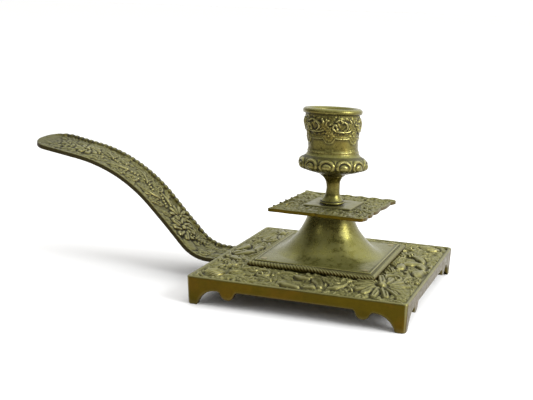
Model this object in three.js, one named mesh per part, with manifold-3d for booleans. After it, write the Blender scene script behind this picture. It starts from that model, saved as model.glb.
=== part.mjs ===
// Brass chamber candlestick: a square relief base, a bell pedestal, a drip pan, a baluster stem,
// a candle cup and a flat rising handle, clamped together by the stem's threaded tenons.
// Millimetres, +Z up.  The origin is on the table under the middle of the whole outline, and the
// handle points along -X.  Inside the candlestick group, X and Y are measured from the candle axis.
import * as THREE from 'three';
import { mergeVertices } from 'three/addons/utils/BufferGeometryUtils.js';
import Module from 'manifold-3d';

const wasm = await Module();
wasm.setup();

// ---------------------------------------------------------------- driving dimensions
const FIT = 0.3; // gap between neighbouring pieces
const BORE = 22; // candle socket at its mouth
const HEIGHT = 86.7; // table to the cup's rim
const BASE_HALF = 50; // half of the base's side
const HANDLE_REACH = 105.5; // from the base's edge to the handle's tip
const LIP_TOP = 13.2; // top of the raised edge round the base
const APRON_EDGE = 7.8; // lower edge of the skirt between its lobes
const SKIRT = 2.2; // thickness of the base's skirt
const DRAFT = 0.5; // how far the skirt leans in at its foot
const FOOT_REACH = 45.6; // where each corner foot ends along the side
const SEAT_Z = 14.5; // base's flat seat for the pedestal
const PEDESTAL_SHIFT = 0.5; // how far the pedestal and all above it stand off the base's centre
const ROPE_HALF = 30; // half of the pedestal's rope-edged flange
const BELL_TOP = 39; // flat top of the pedestal
const CAP_THICKNESS = 2.5; // of the pedestal under the pan
const PAN_LENGTH = 46.5;
const PAN_WIDTH = 45;
const PAN_THICKNESS = 1.2;
const PAN_RISE = 0.5; // height of the pan's plain middle above its border
const PAN_TURN = -2.5; // degrees, as it was clamped
const TENON = 2.5; // radius of the stem's tenons
const STEM_TOP = 54.5; // joint between stem and cup
const SOCKET_FLOOR = 62.5; // what the candle stands on
const HANDLE_PLATE = 1.1; // thickness of the handle's plate
const HANDLE_RIM = 1.1; // height of the handle's border above the plate
const HANDLE_ROOT_Z = 10.2; // top of the plate where it enters the base
const HANDLE_TWIST = 2.5; // degrees that the handle has been twisted by its tip
const WASHER_THICKNESS = 1.2;
const NUT_WIDTH = 9;
const NUT_HEIGHT = 3.4;
const TENON_LOW = 29.5; // lower end of the stem's long tenon, below the nut
const TENON_HIGH = 59.6; // upper end of its short one, inside the cup
const SCREW = 1.5; // radius of a screw's shank
const SCREW_HEAD = 1.6; // height of its head

const PAN_Z = BELL_TOP + FIT;
const PAN_TOP = PAN_Z + PAN_THICKNESS;
const HOLE = TENON + FIT;
const UNDERSIDE = HANDLE_ROOT_Z + 0.4; // underside of the base's field, over the handle's tongue
const RECESS_Z = SEAT_Z - 2.2; // underside of the base's seat, where the pedestal's screws bear
const CAP_Z = BELL_TOP - CAP_THICKNESS; // underside of the pedestal's cap
const WASHER_Z = CAP_Z - FIT - WASHER_THICKNESS;
const NUT_Z = WASHER_Z - FIT - NUT_HEIGHT;

// ---------------------------------------------------------------- helpers
function toSolid(geometry) {
  const bare = geometry.clone();
  bare.deleteAttribute('normal');
  bare.deleteAttribute('uv');
  const merged = mergeVertices(bare, 1e-4);
  const corners = merged.index.array;
  const kept = [];
  for (let i = 0; i < corners.length; i += 3) {
    const [a, b, c] = corners.subarray(i, i + 3);
    if (a !== b && b !== c && c !== a) kept.push(a, b, c);
  }
  const vertProperties = merged.attributes.position.array;
  return new wasm.Manifold(new wasm.Mesh({ numProp: 3, vertProperties, triVerts: new Uint32Array(kept) }));
}

function toGeometry(solid) {
  const mesh = solid.getMesh();
  const geometry = new THREE.BufferGeometry();
  geometry.setAttribute('position', new THREE.BufferAttribute(mesh.vertProperties, 3));
  geometry.setIndex(new THREE.BufferAttribute(mesh.triVerts, 1));
  geometry.computeVertexNormals();
  return geometry;
}

function vectors(pairs) {
  return pairs.map(([x, y]) => new THREE.Vector2(x, y));
}

// A smooth stretch of an outline through a few points.
function smooth(pairs, steps) {
  return new THREE.SplineCurve(vectors(pairs)).getPoints(steps).map((p) => [p.x, p.y]);
}

// A profile of [radius, z] pairs turned about the Z axis, read up the outside.
function turned(profile, segments = 48, start = 0) {
  return new THREE.LatheGeometry(vectors(profile), segments, start).rotateX(Math.PI / 2);
}

// The same with four sides: a profile of [half side, z] pairs.
function squared(profile) {
  return turned(profile.map(([half, z]) => [half * Math.SQRT2, z]), 4, Math.PI / 4);
}

// A pillar with the given plan, from one height to another.
function pillar(shape, low, high) {
  return new THREE.ExtrudeGeometry(shape, { depth: high - low, bevelEnabled: false }).translate(0, 0, low);
}

// A beam along Y with the given outline of [x, z] points, centred on y = 0.
function beam(shape, width) {
  const geometry = new THREE.ExtrudeGeometry(shape, { depth: width, bevelEnabled: false });
  return geometry.rotateX(Math.PI / 2).translate(0, width / 2, 0);
}

function rod(radius, low, high, x = 0, y = 0, segments = 20) {
  const geometry = new THREE.CylinderGeometry(radius, radius, high - low, segments);
  return toSolid(geometry.rotateX(Math.PI / 2).translate(x, y, (low + high) / 2));
}

function roundedSquare(halfX, halfY, radius) {
  const shape = new THREE.Shape();
  shape.absarc(halfX - radius, halfY - radius, radius, 0, Math.PI / 2);
  shape.absarc(radius - halfX, halfY - radius, radius, Math.PI / 2, Math.PI);
  shape.absarc(radius - halfX, radius - halfY, radius, Math.PI, 1.5 * Math.PI);
  shape.absarc(halfX - radius, radius - halfY, radius, 1.5 * Math.PI, 2 * Math.PI);
  return new THREE.Shape(shape.getPoints(5));
}

function brass(name, geometry, colour = 0x7c7644, roughness = 0.45) {
  const material = new THREE.MeshStandardMaterial({ color: colour, roughness, metalness: 1 });
  material.name = name;
  const mesh = new THREE.Mesh(geometry, material);
  mesh.name = name;
  return mesh;
}

// ---------------------------------------------------------------- base
const BELL_SCREW_AT = 24; // the pedestal's screws, along X and Y
const HANDLE_SCREW_X = -43; // the handle's two screws, from the base's centre
const HANDLE_SCREW_Y = 6;
const ROOT_HALF = 13; // half width of the handle where it enters the base
const SCREW_CORNERS = [[1, 1], [-1, 1], [-1, -1], [1, -1]];

// Everything under the apron of one side: a hollow curve behind each foot, then a round lobe.
function apronOpening() {
  const half = new THREE.Path();
  half.moveTo(-FOOT_REACH, -1);
  half.lineTo(-FOOT_REACH, 0);
  half.bezierCurveTo(-44.2, 4.4, -40.8, 7.3, -36, 7.4);
  half.quadraticCurveTo(-34.4, 7.3, -34, 5.8);
  half.bezierCurveTo(-33.3, 3.1, -28.7, 3.1, -28, 5.8);
  half.quadraticCurveTo(-27.5, APRON_EDGE, -26, APRON_EDGE);
  const left = half.getPoints(6);
  const right = left.map((p) => new THREE.Vector2(-p.x, p.y)).reverse();
  return toSolid(beam(new THREE.Shape([...left, ...right]), 2 * BASE_HALF + 2));
}

function baseCasting() {
  const inner = BASE_HALF - SKIRT;
  const tray = toSolid(squared([
    [inner - DRAFT, 0], [BASE_HALF - DRAFT, 0], [BASE_HALF, LIP_TOP - 1], [BASE_HALF - 0.3, LIP_TOP],
    [BASE_HALF - 1.3, LIP_TOP], [BASE_HALF - 1.9, 12.2], [ROPE_HALF + 1, SEAT_Z], [18, SEAT_Z],
    [18, RECESS_Z], [27, RECESS_Z], [35, UNDERSIDE], [inner, UNDERSIDE], [inner - DRAFT, 0],
  ]));
  let body = tray;
  const foot = BASE_HALF - FOOT_REACH;
  for (const [sx, sy] of SCREW_CORNERS) {
    const at = BASE_HALF - DRAFT - foot / 2;
    body = body.add(toSolid(new THREE.BoxGeometry(foot, foot, 10.4).translate(sx * at, sy * at, 5.2)));
  }
  const corners = toSolid(pillar(roundedSquare(BASE_HALF, BASE_HALF, 1.5), -1, LIP_TOP + 4));
  body = body.intersect(corners);
  const opening = apronOpening();
  body = body.subtract(opening).subtract(opening.rotate([0, 0, 90]));
  const slotTop = HANDLE_ROOT_Z + HANDLE_RIM + FIT;
  const slot = new THREE.BoxGeometry(4, 2 * (ROOT_HALF + FIT), slotTop).translate(-BASE_HALF, 0, slotTop / 2);
  body = body.subtract(toSolid(slot.translate(0.6, 0, 0)));
  for (const [sx, sy] of SCREW_CORNERS) {
    const x = sx * BELL_SCREW_AT + PEDESTAL_SHIFT;
    body = body.subtract(rod(SCREW + FIT, 10, SEAT_Z + 1, x, sy * BELL_SCREW_AT));
  }
  for (const side of [-1, 1]) {
    body = body.subtract(rod(SCREW + FIT, UNDERSIDE - 1, 12, HANDLE_SCREW_X, side * HANDLE_SCREW_Y));
  }
  return brass('base_casting', toGeometry(body));
}

// ---------------------------------------------------------------- pedestal
const PLATE_Z = 17.7; // edge of the flat plate inside the rope
const ROUND_ABOVE = 25; // the trumpet is round above this

// Stretches a round section towards a square one: a superellipse whose exponent is 2 where the
// trumpet is round and grows towards the flat plate, which is a true square.
function squaring(angle, z) {
  const across = Math.max(Math.abs(Math.cos(angle)), Math.abs(Math.sin(angle)));
  if (z < PLATE_Z + 0.1) return 1 / across;
  const exponent = 2 + 16 * Math.max(0, (ROUND_ABOVE - z) / (ROUND_ABOVE - PLATE_Z)) ** 2;
  return (Math.abs(Math.cos(angle)) ** exponent + Math.abs(Math.sin(angle)) ** exponent) ** (-1 / exponent);
}

function pedestalBell() {
  const flange = SEAT_Z + FIT;
  const outside = smooth([
    [27, PLATE_Z], [23.5, 19.4], [18.4, 23.5], [14.6, 27.4], [12.4, 31.3], [9.5, BELL_TOP],
  ], 13);
  const inside = smooth([[8, CAP_Z], [9.6, 32.5], [12, 27.6], [15.6, 23], [19, 18.5]], 7);
  const profile = [
    [19, flange], [ROPE_HALF - 0.5, flange], [ROPE_HALF, 15.8], [ROPE_HALF - 0.5, 16.8], [28.6, 17.2],
    [27.6, 16.9], ...outside, [HOLE, BELL_TOP], [HOLE, CAP_Z], ...inside, [19, flange],
  ];
  const geometry = turned(profile, 40);
  const position = geometry.attributes.position;
  for (let i = 0; i < position.count; i += 1) {
    const x = position.getX(i);
    const y = position.getY(i);
    const scale = squaring(Math.atan2(y, x), position.getZ(i));
    position.setXY(i, x * scale, y * scale);
  }
  let body = toSolid(geometry);
  for (const [sx, sy] of SCREW_CORNERS) {
    body = body.subtract(rod(SCREW + FIT, flange - 1, 18.2, sx * BELL_SCREW_AT, sy * BELL_SCREW_AT));
  }
  return brass('pedestal_bell', toGeometry(body));
}

// ---------------------------------------------------------------- drip pan
function dripPan() {
  const sheet = toSolid(pillar(roundedSquare(PAN_LENGTH / 2, PAN_WIDTH / 2, 2), PAN_Z, PAN_TOP));
  const middle = toSolid(pillar(roundedSquare(12, 12, 1.5), PAN_Z + 0.4, PAN_TOP + PAN_RISE));
  const mesh = brass('drip_pan', toGeometry(sheet.add(middle).subtract(rod(HOLE, PAN_Z - 1, PAN_Z + 3))));
  mesh.rotation.z = THREE.MathUtils.degToRad(PAN_TURN);
  return mesh;
}

// ---------------------------------------------------------------- stem, washer and nut
function baluster() {
  const foot = PAN_TOP + PAN_RISE + FIT;
  return brass('baluster_stem', turned([
    [0, TENON_LOW], [TENON, TENON_LOW], [TENON, foot], [5.3, foot],
    ...smooth([[5.6, foot + 0.3], [5.8, foot + 0.8], [5.2, foot + 1.4]], 4),
    ...smooth([[4.6, 43.2], [3.5, 45.6], [2.95, 48.9], [3.4, 52], [4.5, STEM_TOP]], 10),
    [TENON, STEM_TOP], [TENON, TENON_HIGH], [0, TENON_HIGH],
  ], 28));
}

function tieWasher() {
  const top = WASHER_Z + WASHER_THICKNESS;
  const ring = [[HOLE, WASHER_Z], [6, WASHER_Z], [6, top], [HOLE, top], [HOLE, WASHER_Z]];
  return brass('tie_washer', turned(ring, 32));
}

function tieNut() {
  const block = new THREE.BoxGeometry(NUT_WIDTH, NUT_WIDTH, NUT_HEIGHT).translate(0, 0, NUT_Z + NUT_HEIGHT / 2);
  return brass('tie_nut', toGeometry(toSolid(block).subtract(rod(HOLE, NUT_Z - 1, WASHER_Z))));
}

// ---------------------------------------------------------------- candle cup
function candleCup() {
  const foot = STEM_TOP + FIT;
  const mouth = BORE / 2;
  return brass('candle_cup', turned([
    [0, TENON_HIGH + 0.4], [HOLE, TENON_HIGH + 0.4], [HOLE, foot], [4.6, foot],
    ...smooth([[5.2, 55.3], [8, 56.1], [12.6, 57], [15.5, 58.2], [16.35, 59.7], [15.9, 61.6], [14.4, 63.4]], 9),
    ...smooth([
      [13, 64.3], [11.8, 65.8], [11.7, 67.5], [11.7, 70],
      [12.3, 73.8], [13.3, 77.8], [13.55, 80.4], [12.7, 83.3],
    ], 12),
    ...smooth([[12.7, 84], [13.5, 85.3], [13.1, HEIGHT - 0.3], [12, HEIGHT], [mouth, HEIGHT - 0.7]], 6),
    [mouth - 1, SOCKET_FLOOR], [0, SOCKET_FLOOR],
  ], 40));
}

// ---------------------------------------------------------------- handle
// Seen from the side, the handle runs through straights and bends from inside the base to its tip.
// Lengths and radii are those of the plate's upper face; turns are in degrees, upward positive.
const TONGUE = 12; // how far the handle reaches into the base
const HANDLE_RUN = [
  { straight: TONGUE + 6.5 },
  { turn: 46, radius: 19.1 },
  { straight: 25.3 },
  { turn: -36, radius: 74.9 },
  { straight: 20 },
  { turn: -11, radius: 60.5 },
];

// Points along the run as [distance from the base's edge, z], raised off the plate's upper face.
function runPoints(raised) {
  const points = [];
  let heading = 0;
  let at = new THREE.Vector2(-TONGUE, HANDLE_ROOT_Z);
  const mark = () => points.push([at.x - raised * Math.sin(heading), at.y + raised * Math.cos(heading)]);
  mark();
  for (const { straight = 0, turn = 0, radius = 0 } of HANDLE_RUN) {
    if (straight > 0) {
      at = at.clone().add(new THREE.Vector2(straight, 0).rotateAround(new THREE.Vector2(), heading));
      mark();
    }
    const steps = Math.ceil(Math.abs(turn) / 5);
    for (let i = 0; i < steps; i += 1) {
      const bend = THREE.MathUtils.degToRad(turn / steps);
      const chord = 2 * radius * Math.sin(Math.abs(bend) / 2);
      at = at.clone().add(new THREE.Vector2(chord, 0).rotateAround(new THREE.Vector2(), heading + bend / 2));
      heading += bend;
      mark();
    }
  }
  return points;
}

function handleBand(low, high) {
  const outline = [...runPoints(low), ...runPoints(high).reverse()];
  return toSolid(beam(new THREE.Shape(vectors(outline.map(([u, z]) => [-BASE_HALF - u, z]))), 40));
}

// The handle seen from above, inset by a margin, with its oval end stopping short of the tip.
function handlePlan(root, inset, tipMargin) {
  const endHalf = 15.3 - inset;
  const endLength = 10 - tipMargin / 2;
  const centre = HANDLE_REACH - tipMargin - endLength;
  const side = smooth([[root, ROOT_HALF - inset], [10, ROOT_HALF - inset], [30, 12.4 - inset],
    [55, 13.3 - inset], [77, 14.8 - inset], [centre, endHalf]], 12);
  const end = new THREE.Path().absellipse(centre, 0, endLength, endHalf, Math.PI / 2, 0, true).getPoints(8);
  const upper = [...side, ...end.slice(1).map((p) => [p.x, p.y])];
  const lower = upper.slice(0, -1).map(([u, y]) => [u, -y]).reverse();
  const outline = [...upper, ...lower].map(([u, y]) => [-BASE_HALF - u, y]);
  return toSolid(pillar(new THREE.Shape(vectors(outline)), 0, 80));
}

// Turns each section of the handle a little, more and more towards its tip.
function twisted(geometry) {
  const position = geometry.attributes.position;
  for (let i = 0; i < position.count; i += 1) {
    const along = Math.max(0, -BASE_HALF - position.getX(i)) / HANDLE_REACH;
    const rise = position.getY(i) * Math.tan(THREE.MathUtils.degToRad(HANDLE_TWIST * along));
    position.setZ(i, position.getZ(i) + rise);
  }
  geometry.computeVertexNormals();
  return geometry;
}

function handle() {
  const outer = handlePlan(-2.4, 0, 0);
  const field = handlePlan(-10, 2.2, 7);
  const plate = handleBand(-HANDLE_PLATE, 0).intersect(outer);
  const border = handleBand(-HANDLE_PLATE, HANDLE_RIM).intersect(outer.subtract(field));
  const low = HANDLE_ROOT_Z - HANDLE_PLATE;
  const high = UNDERSIDE - FIT;
  const tongue = new THREE.BoxGeometry(TONGUE - 3, 22, high - low);
  tongue.translate(-BASE_HALF + TONGUE - (TONGUE - 3) / 2, 0, (low + high) / 2);
  const bridge = new THREE.BoxGeometry(3, 22, HANDLE_PLATE);
  bridge.translate(-BASE_HALF + 2.5, 0, low + HANDLE_PLATE / 2);
  let body = plate.add(border).add(toSolid(tongue)).add(toSolid(bridge));
  for (const side of [-1, 1]) {
    body = body.subtract(rod(SCREW + FIT, low - 1, high + 1, HANDLE_SCREW_X, side * HANDLE_SCREW_Y));
  }
  return brass('handle', twisted(toGeometry(body)));
}

// ---------------------------------------------------------------- screws
function slottedScrew(name, x, y, headTop, tip) {
  const low = headTop - SCREW_HEAD;
  const body = toSolid(turned([
    [0, low], [2.4, low], [2.8, low + 0.4], [2.8, headTop], [SCREW, headTop], [SCREW, tip], [0, tip],
  ], 20));
  const slot = new THREE.BoxGeometry(8, 0.7, 1.4).translate(0, 0, low);
  const mesh = brass(name, toGeometry(body.subtract(toSolid(slot))), 0x8a8350, 0.4);
  mesh.position.set(x, y, 0);
  return mesh;
}

function bellScrews() {
  return SCREW_CORNERS.map(([sx, sy], i) => {
    const name = `bell_screw_${i + 1}`;
    return slottedScrew(name, sx * BELL_SCREW_AT, sy * BELL_SCREW_AT, RECESS_Z - FIT, 17.9);
  });
}

function handleScrews() {
  const headTop = HANDLE_ROOT_Z - HANDLE_PLATE - FIT;
  return [-1, 1].map((side, i) => (
    slottedScrew(`handle_screw_${i + 1}`, HANDLE_SCREW_X, side * HANDLE_SCREW_Y, headTop, 11.7)
  ));
}

// ---------------------------------------------------------------- assembly
const pedestal = new THREE.Group();
pedestal.add(pedestalBell(), ...bellScrews(), dripPan(), tieWasher(), tieNut(), baluster(), candleCup());
pedestal.position.x = PEDESTAL_SHIFT;

const candlestick = new THREE.Group();
candlestick.add(baseCasting(), pedestal, handle(), ...handleScrews());
candlestick.position.x = HANDLE_REACH / 2;

export default candlestick;
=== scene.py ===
"""A brass chamber candlestick: relief base, bell pedestal, drip pan, stem, candle cup and handle.

Sizes are in millimetres and become metres when a mesh is made.  Positions along X and Y are taken
from the CAD frame: the base's centre for base and handle, the candle axis for all that stands on it.
"""
import math

import bpy
import numpy as np
from mathutils import Matrix, Vector


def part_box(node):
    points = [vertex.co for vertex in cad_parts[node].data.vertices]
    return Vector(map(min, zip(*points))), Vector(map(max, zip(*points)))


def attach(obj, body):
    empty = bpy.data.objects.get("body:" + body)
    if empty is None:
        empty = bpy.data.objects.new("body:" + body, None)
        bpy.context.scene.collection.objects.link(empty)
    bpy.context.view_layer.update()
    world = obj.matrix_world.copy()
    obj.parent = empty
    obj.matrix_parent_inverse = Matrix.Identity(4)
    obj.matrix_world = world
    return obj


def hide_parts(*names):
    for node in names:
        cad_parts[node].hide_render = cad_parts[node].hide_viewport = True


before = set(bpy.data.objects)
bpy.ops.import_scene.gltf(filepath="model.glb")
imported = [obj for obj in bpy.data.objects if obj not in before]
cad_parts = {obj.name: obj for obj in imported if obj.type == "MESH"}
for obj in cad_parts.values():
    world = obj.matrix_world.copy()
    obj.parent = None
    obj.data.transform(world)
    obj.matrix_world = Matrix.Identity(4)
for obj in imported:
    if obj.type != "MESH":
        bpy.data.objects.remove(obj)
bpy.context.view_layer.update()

MM = 0.001
TURN = 2 * math.pi


# -------- places taken from the frame
def node_middle(node):
    low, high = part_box(node)
    return np.array([(low[0] + high[0]) / 2, (low[1] + high[1]) / 2, 0.0]) / MM


BASE_CENTRE = node_middle("base_casting")
AXIS = node_middle("baluster_stem")
CUP_LOW, CUP_HIGH = [corner[2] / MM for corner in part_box("candle_cup")]
PAN_LOW, PAN_HIGH = [corner[2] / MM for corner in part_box("drip_pan")]

# -------- base
BASE_HALF = 50.0  # half of the base's side
CORNER_RADIUS = 1.8  # of the skirt's upright edges
CORNER_DRIFT = 0.9  # how far the casting's front left corner has drawn out of square
SKIRT = 2.2  # thickness of the skirt
SKIRT_TOP = 12.3
DRAFT = 0.5  # how far the skirt leans in at its foot
LIP_TOP = 13.2
FIELD_OUT, FIELD_IN = 48.0, 30.4  # the relief's field, from the lip to the rope
GROUND_OUT, GROUND_IN = 12.1, 14.3  # height of its ground at those two places
BASE_BOLDNESS = 1.25  # the base's ornament stands this much higher than it is drawn
SEAT_Z = 14.5  # flat seat for the pedestal
UNDERSIDE = 10.6
RECESS_HALF = 18.0

# -------- pedestal, pan and cup
ROPE_HALF = 28.75  # middle line of the rope
ROPE_RADIUS = 1.42
ROPE_Z = 15.95
BELL_TOP = 39.0
TENON_HOLE = 2.8
PAN_TURN = math.radians(-2.5)
PAN_SKEW = 0.033  # how much the pan is out of square
CUP_TILT = math.radians(4.2)  # the cup leans away from the front by this much
CUP_RADIUS = 12.8  # radius at which the cup's ornament is drawn
CUP_AROUND = TURN * CUP_RADIUS

# -------- handle
HANDLE_TIP = BASE_CENTRE[0] - BASE_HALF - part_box("handle")[0][0] / MM  # reach beyond the base's edge
HANDLE_RUN = ((18.5, 0, 0), (0, 46, 19.1), (25.3, 0, 0), (0, -36, 74.9), (20, 0, 0), (0, -11, 60.5))
TONGUE = 12.0  # how far the handle reaches into the base
HANDLE_ROOT_Z = 10.2  # top of its plate there
HANDLE_TWIST = math.radians(2.5)  # from root to tip
PLATE_THICKNESS = 1.1
MILL_PITCH = 2.9  # ribs of the milled border


# -------- relief maps
def box_blur(values, cells):
    """The mean over a square of (2 * cells + 1) cells, edges repeated."""
    for axis in (0, 1):
        padding = [(0, 0), (0, 0)]
        padding[axis] = (cells + 1, cells)
        total = np.cumsum(np.pad(values, padding, mode="edge"), axis=axis)
        count = values.shape[axis]
        upper = np.take(total, np.arange(2 * cells + 1, 2 * cells + 1 + count), axis=axis)
        lower = np.take(total, np.arange(count), axis=axis)
        values = (upper - lower) / (2 * cells + 1)
    return values


def arc_path(x, y, heading, length, curl, steps=18):
    """Points along a curve that leaves (x, y) at heading and turns by curl over its length."""
    angles = heading + curl * (np.arange(steps) + 0.5) / steps
    moves = np.stack([np.cos(angles), np.sin(angles)], -1) * length / steps
    return np.vstack([[x, y], [x, y] + np.cumsum(moves, axis=0)])


def scatter(rng, box, pitch):
    """A grid of places over a box (low x, high x, low y, high y), each with four random shares."""
    low_x, high_x, low_y, high_y = box
    for x in np.arange(low_x, high_x, pitch):
        for y in np.arange(low_y, high_y, pitch):
            yield x, y, rng.uniform(-1, 1, 4)


class Relief:
    """A height map over a rectangle, built up from strokes with a rounded section."""

    FULL_HOLLOW = 0.45  # a spot this far below its neighbours counts as 1, this far above as -1

    def __init__(self, low_x, high_x, low_y, high_y, step=0.2):
        self.low = np.array([low_x, low_y])
        self.step = step
        self.x, self.y = np.meshgrid(np.arange(low_x, high_x + step, step),
                                     np.arange(low_y, high_y + step, step), indexing="ij")
        self.height = np.zeros_like(self.x)

    def window(self, low, high):
        """The cells between two corners, as a pair of slices."""
        a = np.maximum(((low - self.low) / self.step).astype(int), 0)
        b = np.minimum(((high - self.low) / self.step).astype(int) + 2, self.x.shape)
        return slice(a[0], max(a[0], b[0])), slice(a[1], max(a[1], b[1]))

    def stroke(self, path, width, height, channel=0.0, ends=(0.5, 0.15), moat=0.35):
        """A rounded ridge along path, swelling from ends[0] to full and thinning to ends[1].

        channel sinks a line along its middle, and moat cuts down what lies just beside it.
        """
        path = np.asarray(path, float)
        along = np.linspace(0, 1, len(path))
        swell = np.interp(along, [0, 0.35, 1], [ends[0], 1, ends[1]])
        half = width / 2 * swell
        margin = width / 2 * 1.4
        cells = self.window(path.min(0) - margin, path.max(0) + margin)
        x, y = self.x[cells], self.y[cells]
        if x.size == 0:
            return
        away = np.hypot(x[..., None] - path[:, 0], y[..., None] - path[:, 1]) / half
        nearest = away.argmin(-1)
        away = away.min(-1)
        crest = height * (0.45 + 0.55 * swell[nearest])
        ridge = crest * np.sqrt(np.clip(1 - away ** 2, 0, 1))
        ridge -= channel * crest * np.exp(-(away / 0.3) ** 2)
        old = self.height[cells]
        cut = old - moat * height * np.clip(1.35 - away, 0, 0.35) / 0.35
        self.height[cells] = np.where(away < 1, np.maximum(ridge, cut * 0.6), np.maximum(cut, 0))

    def dome(self, x, y, radius, height, stretch=1.0, turn=0.0, moat=0.5):
        """A round or oval boss, stretched along turn."""
        middle = np.array([x, y])
        reach = radius * max(1, stretch) * 1.5
        cells = self.window(middle - reach, middle + reach)
        dx, dy = self.x[cells] - x, self.y[cells] - y
        across = (dx * math.cos(turn) + dy * math.sin(turn)) / (radius * stretch)
        beside = (dy * math.cos(turn) - dx * math.sin(turn)) / radius
        away = np.hypot(across, beside)
        old = self.height[cells]
        cut = old * np.where(away < 1.3, 1 - moat, 1)
        bump = height * np.sqrt(np.clip(1 - away ** 2, 0, 1))
        self.height[cells] = np.where(away < 1, np.maximum(bump, cut), cut)

    def pit(self, x, y, radius, depth):
        """A small pit where the casting's ground shows through."""
        cells = self.window(np.array([x, y]) - 2 * radius, np.array([x, y]) + 2 * radius)
        away = np.hypot(self.x[cells] - x, self.y[cells] - y) / radius
        sunk = np.minimum(self.height[cells], depth * (away - 1))
        self.height[cells] = np.where(away < 1.3, sunk, self.height[cells])

    def leaf(self, x, y, heading, length, width, height, lobes=4, curl=0.0):
        """An acanthus leaf: channelled lobes fanned from a midrib, each laid over the one before."""
        rib = arc_path(x, y, heading, length, curl)
        for lobe in range(lobes):
            at = 0.08 + 0.74 * lobe / lobes
            spot = rib[int(at * (len(rib) - 1))]
            reach = width * 0.62 * math.sin(math.pi * min(0.92, at + 0.22)) ** 0.7
            facing = heading + curl * at
            for side in (-1, 1):
                spread = side * math.radians(62 - 26 * at)
                path = arc_path(spot[0], spot[1], facing + spread, reach * 1.15, -side * 0.75, 9)
                self.stroke(path, reach * 0.62, height * (0.95 - 0.2 * at), channel=0.35, ends=(0.5, 0.45))
        self.stroke(rib, width * 0.24, height * 1.1, channel=0.2, ends=(0.9, 0.4))

    def scroll(self, x, y, radius, start, turns, width, height, hand=1):
        """A spiral band that winds in to a bead."""
        t = np.linspace(0, 1, int(14 + 30 * turns))
        r = radius * (1 - 0.78 * t)
        angle = start + hand * TURN * turns * t
        path = np.stack([x + r * np.cos(angle), y + r * np.sin(angle)], -1)
        self.stroke(path, width, height, channel=0.3, ends=(0.9, 0.6))
        self.dome(x, y, width * 0.62, height * 1.05)

    def rosette(self, x, y, radius, petals, height, turn=0.0):
        """A daisy of channelled petals round a bead."""
        for petal in range(petals):
            heading = turn + TURN * petal / petals
            start = (x + 0.25 * radius * math.cos(heading), y + 0.25 * radius * math.sin(heading))
            path = arc_path(start[0], start[1], heading, radius * 0.68, 0.15, 8)
            width = 2.1 * radius * math.sin(math.pi / petals)
            self.stroke(path, width, height, channel=0.35, ends=(0.45, 0.75), moat=0.2)
        self.dome(x, y, radius * 0.26, height * 1.15)

    def fan(self, x, y, heading, radius, petals, spread, height):
        """A shell-like palmette: petals fanned about heading, with a bead at its root."""
        for petal in range(petals):
            t = petal / (petals - 1) * 2 - 1
            facing = heading + t * spread / 2
            length = radius * (1 - 0.16 * t * t)
            start = (x + 0.2 * radius * math.cos(facing), y + 0.2 * radius * math.sin(facing))
            path = arc_path(start[0], start[1], facing, length * 0.78, 0.18 * t, 12)
            width = 1.75 * radius * math.sin(spread / petals / 2)
            self.stroke(path, width, height, channel=0.4, ends=(0.3, 0.8), moat=0.3)
        self.dome(x, y, radius * 0.2, height * 1.2)

    def beads(self, path, pitch, radius, height):
        """A string of beads along path."""
        path = np.asarray(path, float)
        gaps = np.hypot(*np.diff(path, axis=0).T)
        length = np.concatenate([[0], np.cumsum(gaps)])
        for at in np.arange(pitch / 2, length[-1], pitch):
            self.dome(np.interp(at, length, path[:, 0]), np.interp(at, length, path[:, 1]), radius, height)

    def undergrowth(self, rng, box, pitch, flow, length, width, height):
        """Fills a box with short leaf strokes that follow flow."""
        for x, y, (dx, dy, swing, size) in scatter(rng, box, pitch):
            path = arc_path(x + dx * pitch * 0.4, y + dy * pitch * 0.4, flow(x, y) + swing * 0.9,
                            length * (1 + 0.25 * size), swing * 1.3, 9)
            self.stroke(path, width * (1 + 0.2 * dx), height * (1 + 0.25 * dy), 0.3, (0.6, 0.4), 0.8)

    def foliage(self, rng, box, pitch, flow, length, width, height):
        """Fills a box with small acanthus leaves that follow flow."""
        for x, y, (dx, dy, swing, size) in scatter(rng, box, pitch):
            grown = 1 + 0.3 * size
            self.leaf(x + dx * pitch * 0.4, y + dy * pitch * 0.4, flow(x, y) + swing * 0.9,
                      length * grown, width * grown, height * (1 + 0.25 * dy), 3, swing * 1.4)

    def ball(self, x, y, radius, height, heading):
        """A leaf rolled up into a ball, seen as ribs laid side by side over a dome."""
        self.dome(x, y, radius, height, moat=1)
        for k in range(-2, 3):
            side = heading + math.pi / 2
            start = (x + k * radius * 0.36 * math.cos(side) - radius * 0.7 * math.cos(heading),
                     y + k * radius * 0.36 * math.sin(side) - radius * 0.7 * math.sin(heading))
            path = arc_path(start[0], start[1], heading + 0.25 * k, radius * 1.35, -0.5 * k, 10)
            self.stroke(path, radius * 0.46, height * 1.25, 0.2, (0.6, 0.6), moat=0.5)

    def grain(self, seed, amount):
        """The uneven skin of a sand casting."""
        rng = np.random.default_rng(seed)
        coarse = box_blur(rng.standard_normal(self.x.shape), 3)
        fine = box_blur(rng.standard_normal(self.x.shape), 1)
        self.height += amount * (coarse / coarse.std() + 0.6 * fine / fine.std())

    def finish(self, cells=1):
        """Softens the map as wear does, and works out how deep each spot lies among its neighbours."""
        self.height = box_blur(self.height, cells)
        around = box_blur(box_blur(self.height, 5), 4)
        self.depth = np.clip((around - self.height) / self.FULL_HOLLOW, -1, 1)
        return self

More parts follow.
